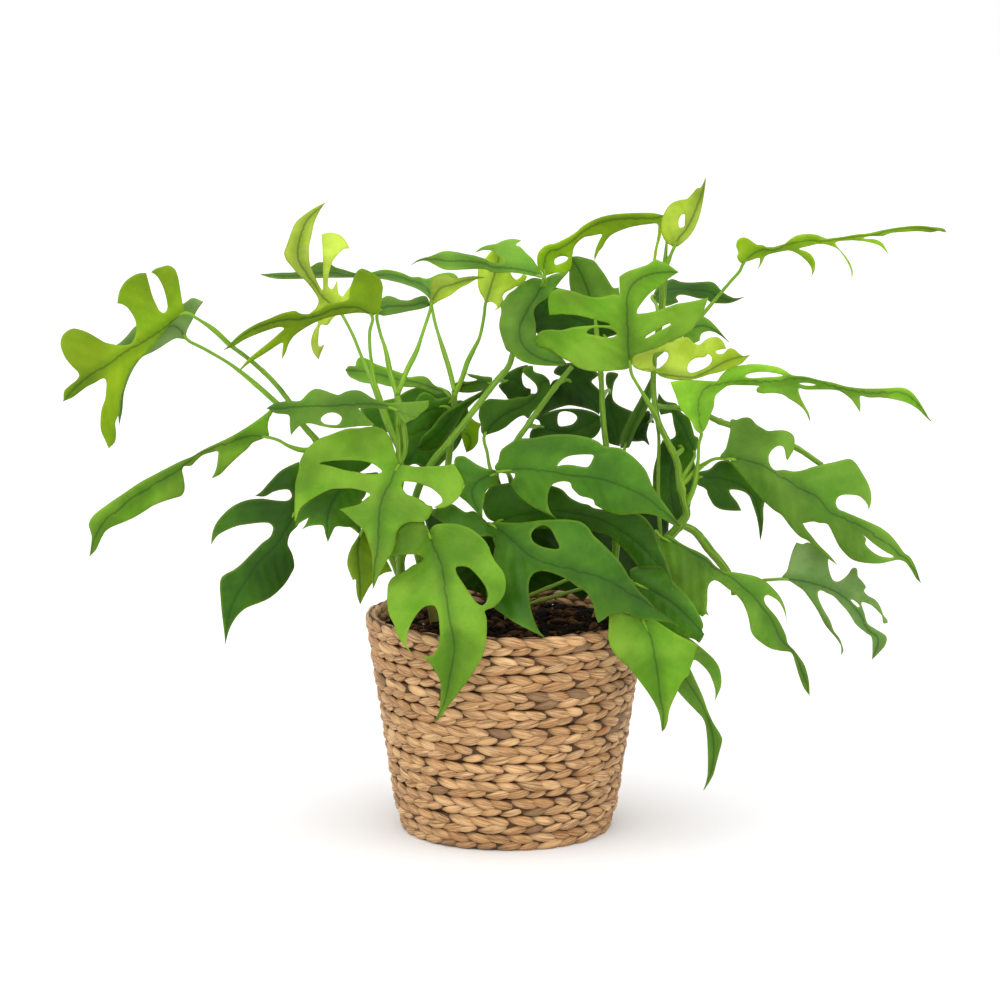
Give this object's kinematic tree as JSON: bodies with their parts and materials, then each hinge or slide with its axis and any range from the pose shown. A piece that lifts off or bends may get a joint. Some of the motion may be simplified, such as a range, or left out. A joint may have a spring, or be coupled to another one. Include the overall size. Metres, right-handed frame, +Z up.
{
  "type": "potted mini monstera",
  "caption": "Climbing aroid house plant with split, holed green leaves on arching stalks, rooted in dark bark mix in a round flaring basket coiled from plaited plant fibre.",
  "frame": {"origin": "centre of the basket's flat foot, on the floor", "axes": "+Z up; -Y towards the side seen in the picture; +X to the right as seen there"},
  "size_m": [0.6739, 0.24, 0.5162],
  "materials": {
    "leaf_lime": "living leaf, satin with a waxy gloss",
    "leaf_light": "living leaf, satin with a waxy gloss",
    "leaf_mid": "living leaf, satin with a waxy gloss",
    "leaf_deep": "living leaf, satin with a waxy gloss",
    "leaf_dark": "living leaf, satin with a waxy gloss",
    "leaf_grey": "living leaf, satin with a waxy gloss",
    "stem": "green climbing stem, satin",
    "soil": "dark moist bark mix, matte",
    "basket": "plaited dried water hyacinth, matte"
  },
  "bodies": {
    "root": {"leaf_far_left": "leaf_lime", "leaf_far_left_behind": "leaf_grey", "leaf_upper_left_tall": "leaf_lime", "leaf_upper_left_strip": "leaf_mid", "leaf_upper_left": "leaf_lime", "leaf_upper_left_band": "leaf_mid", "leaf_young_left": "leaf_lime", "leaf_long_left": "leaf_light", "leaf_low_left": "leaf_dark", "leaf_left_shade": "leaf_deep", "leaf_left_rim": "leaf_lime", "leaf_flat_left": "leaf_mid", "leaf_behind_stalks": "leaf_light", "leaf_left_inner": "leaf_deep", "leaf_centre_edge": "leaf_dark", "leaf_centre_small": "leaf_mid", "leaf_hand_left": "leaf_light", "leaf_front": "leaf_light", "leaf_centre_front": "leaf_deep", "leaf_centre_shade": "leaf_dark", "leaf_centre_upper": "leaf_deep", "leaf_centre_left": "leaf_deep", "leaf_centre_high": "leaf_deep", "leaf_centre_high_shade": "leaf_dark", "leaf_left_core": "leaf_dark", "leaf_low_shade": "leaf_dark", "leaf_top_shade": "leaf_dark", "leaf_under_top": "leaf_dark", "leaf_under_middle": "leaf_dark", "leaf_right_inner_shade": "leaf_dark", "leaf_right_inner_edge": "leaf_deep", "leaf_right_inner_low": "leaf_dark", "leaf_behind_right_stem": "leaf_dark", "leaf_yellow_inner": "leaf_lime", "leaf_top_left": "leaf_mid", "leaf_top_left_behind": "leaf_lime", "leaf_top_drooping": "leaf_mid", "leaf_top_behind": "leaf_mid", "leaf_top_hand": "leaf_light", "leaf_arched": "leaf_lime", "leaf_young_top": "leaf_lime", "leaf_behind_top_right": "leaf_dark", "leaf_behind_hand": "leaf_mid", "leaf_yellow_right": "leaf_lime", "leaf_long_right": "leaf_light", "leaf_right_inner": "leaf_deep", "leaf_right": "leaf_mid", "leaf_right_behind": "leaf_dark", "leaf_grey_right": "leaf_grey", "leaf_low_right": "leaf_mid", "leaf_right_shade": "leaf_deep", "leaf_low_front_right": "leaf_light", "leaf_low_hanging_right": "leaf_mid", "leaf_far_right_top": "leaf_lime", "stem_left": "stem", "stem_middle": "stem", "stem_back": "stem", "stem_right": "stem", "soil": "soil", "basket": "basket"}
  },
  "joints": []
}
